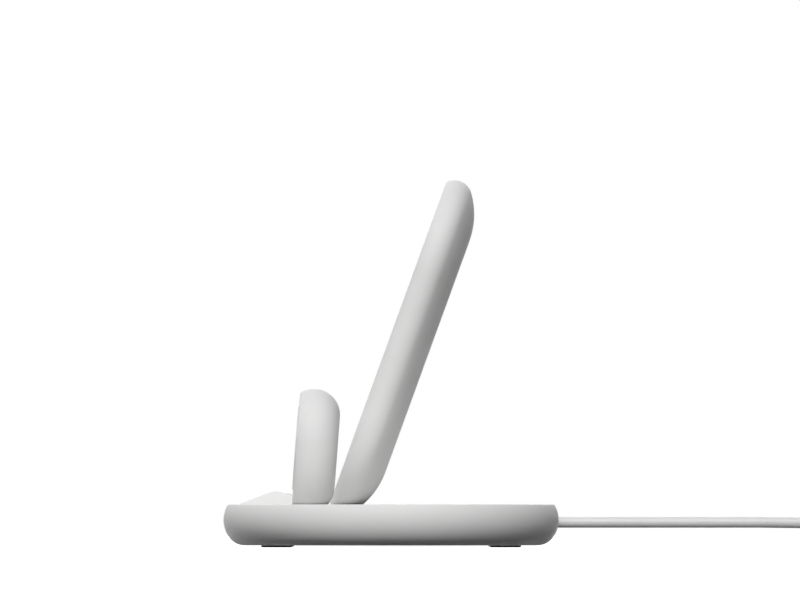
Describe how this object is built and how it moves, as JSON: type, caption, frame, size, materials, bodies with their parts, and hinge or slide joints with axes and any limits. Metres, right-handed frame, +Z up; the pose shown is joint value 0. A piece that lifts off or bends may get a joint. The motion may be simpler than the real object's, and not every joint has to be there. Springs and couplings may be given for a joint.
{
  "type": "wireless charging stand",
  "caption": "Wireless charger with a pill-shaped base, a leaning phone stand behind a low ledge, a short watch post with a round puck, an earbud dish and a captive power cable.",
  "frame": {"origin": "on the table, under the middle of the base", "axes": "+Z up, -Y to the front that the phone and the watch face, +X to the side with the watch post, +Y to the rear where the cable leaves"},
  "size_m": [0.2128, 0.2422, 0.1171],
  "materials": {
    "white_shell": "satin moulded, fine eroded grain",
    "white_cover": "satin moulded, fine eroded grain",
    "puck_white": "smooth gloss",
    "soft_rest": "matt silicone",
    "foot_rubber": "matt",
    "ballast_steel": "zinc plated sheet",
    "board_green": "solder mask",
    "dark_parts": "moulded",
    "capacitor_tan": "fired",
    "connector_cream": "moulded",
    "coil_copper": "enamelled litz wire",
    "ferrite_grey": "sintered",
    "magnet_nickel": "nickel plated",
    "cable_white": "satin extruded sheath",
    "tie_white": "matt",
    "plug_white": "satin moulded",
    "plug_metal": "nickel plated"
  },
  "bodies": {
    "root": {"base_tray": "white_shell", "phone_stand_shell": "white_shell", "watch_post_shell": "white_shell", "base_top_cover": "white_cover", "phone_stand_face": "white_cover", "watch_post_face": "white_cover", "watch_puck_cap": "puck_white", "phone_rest_pad": "soft_rest", "foot_front_left": "foot_rubber", "foot_rear_left": "foot_rubber", "foot_front_right": "foot_rubber", "foot_rear_right": "foot_rubber", "ballast_plate": "ballast_steel", "phone_stand_bracket": "ballast_steel", "watch_post_bracket": "ballast_steel", "main_circuit_board": "board_green", "power_inductors": "dark_parts", "control_chips": "dark_parts", "resonant_capacitors": "capacitor_tan", "cable_connector": "connector_cream", "earbud_coil": "coil_copper", "upper_phone_coil": "coil_copper", "lower_phone_coil": "coil_copper", "watch_coil": "coil_copper", "earbud_ferrite": "ferrite_grey", "upper_phone_ferrite": "ferrite_grey", "lower_phone_ferrite": "ferrite_grey", "watch_ferrite_shield": "ferrite_grey", "watch_magnet": "magnet_nickel", "power_cable": "cable_white", "cable_coil": "cable_white", "cable_tail": "cable_white", "cable_leads": "cable_white", "cable_grommet": "cable_white", "cable_tie": "tie_white", "plug_grip": "plug_white", "plug_shell": "plug_metal"}
  },
  "joints": []
}
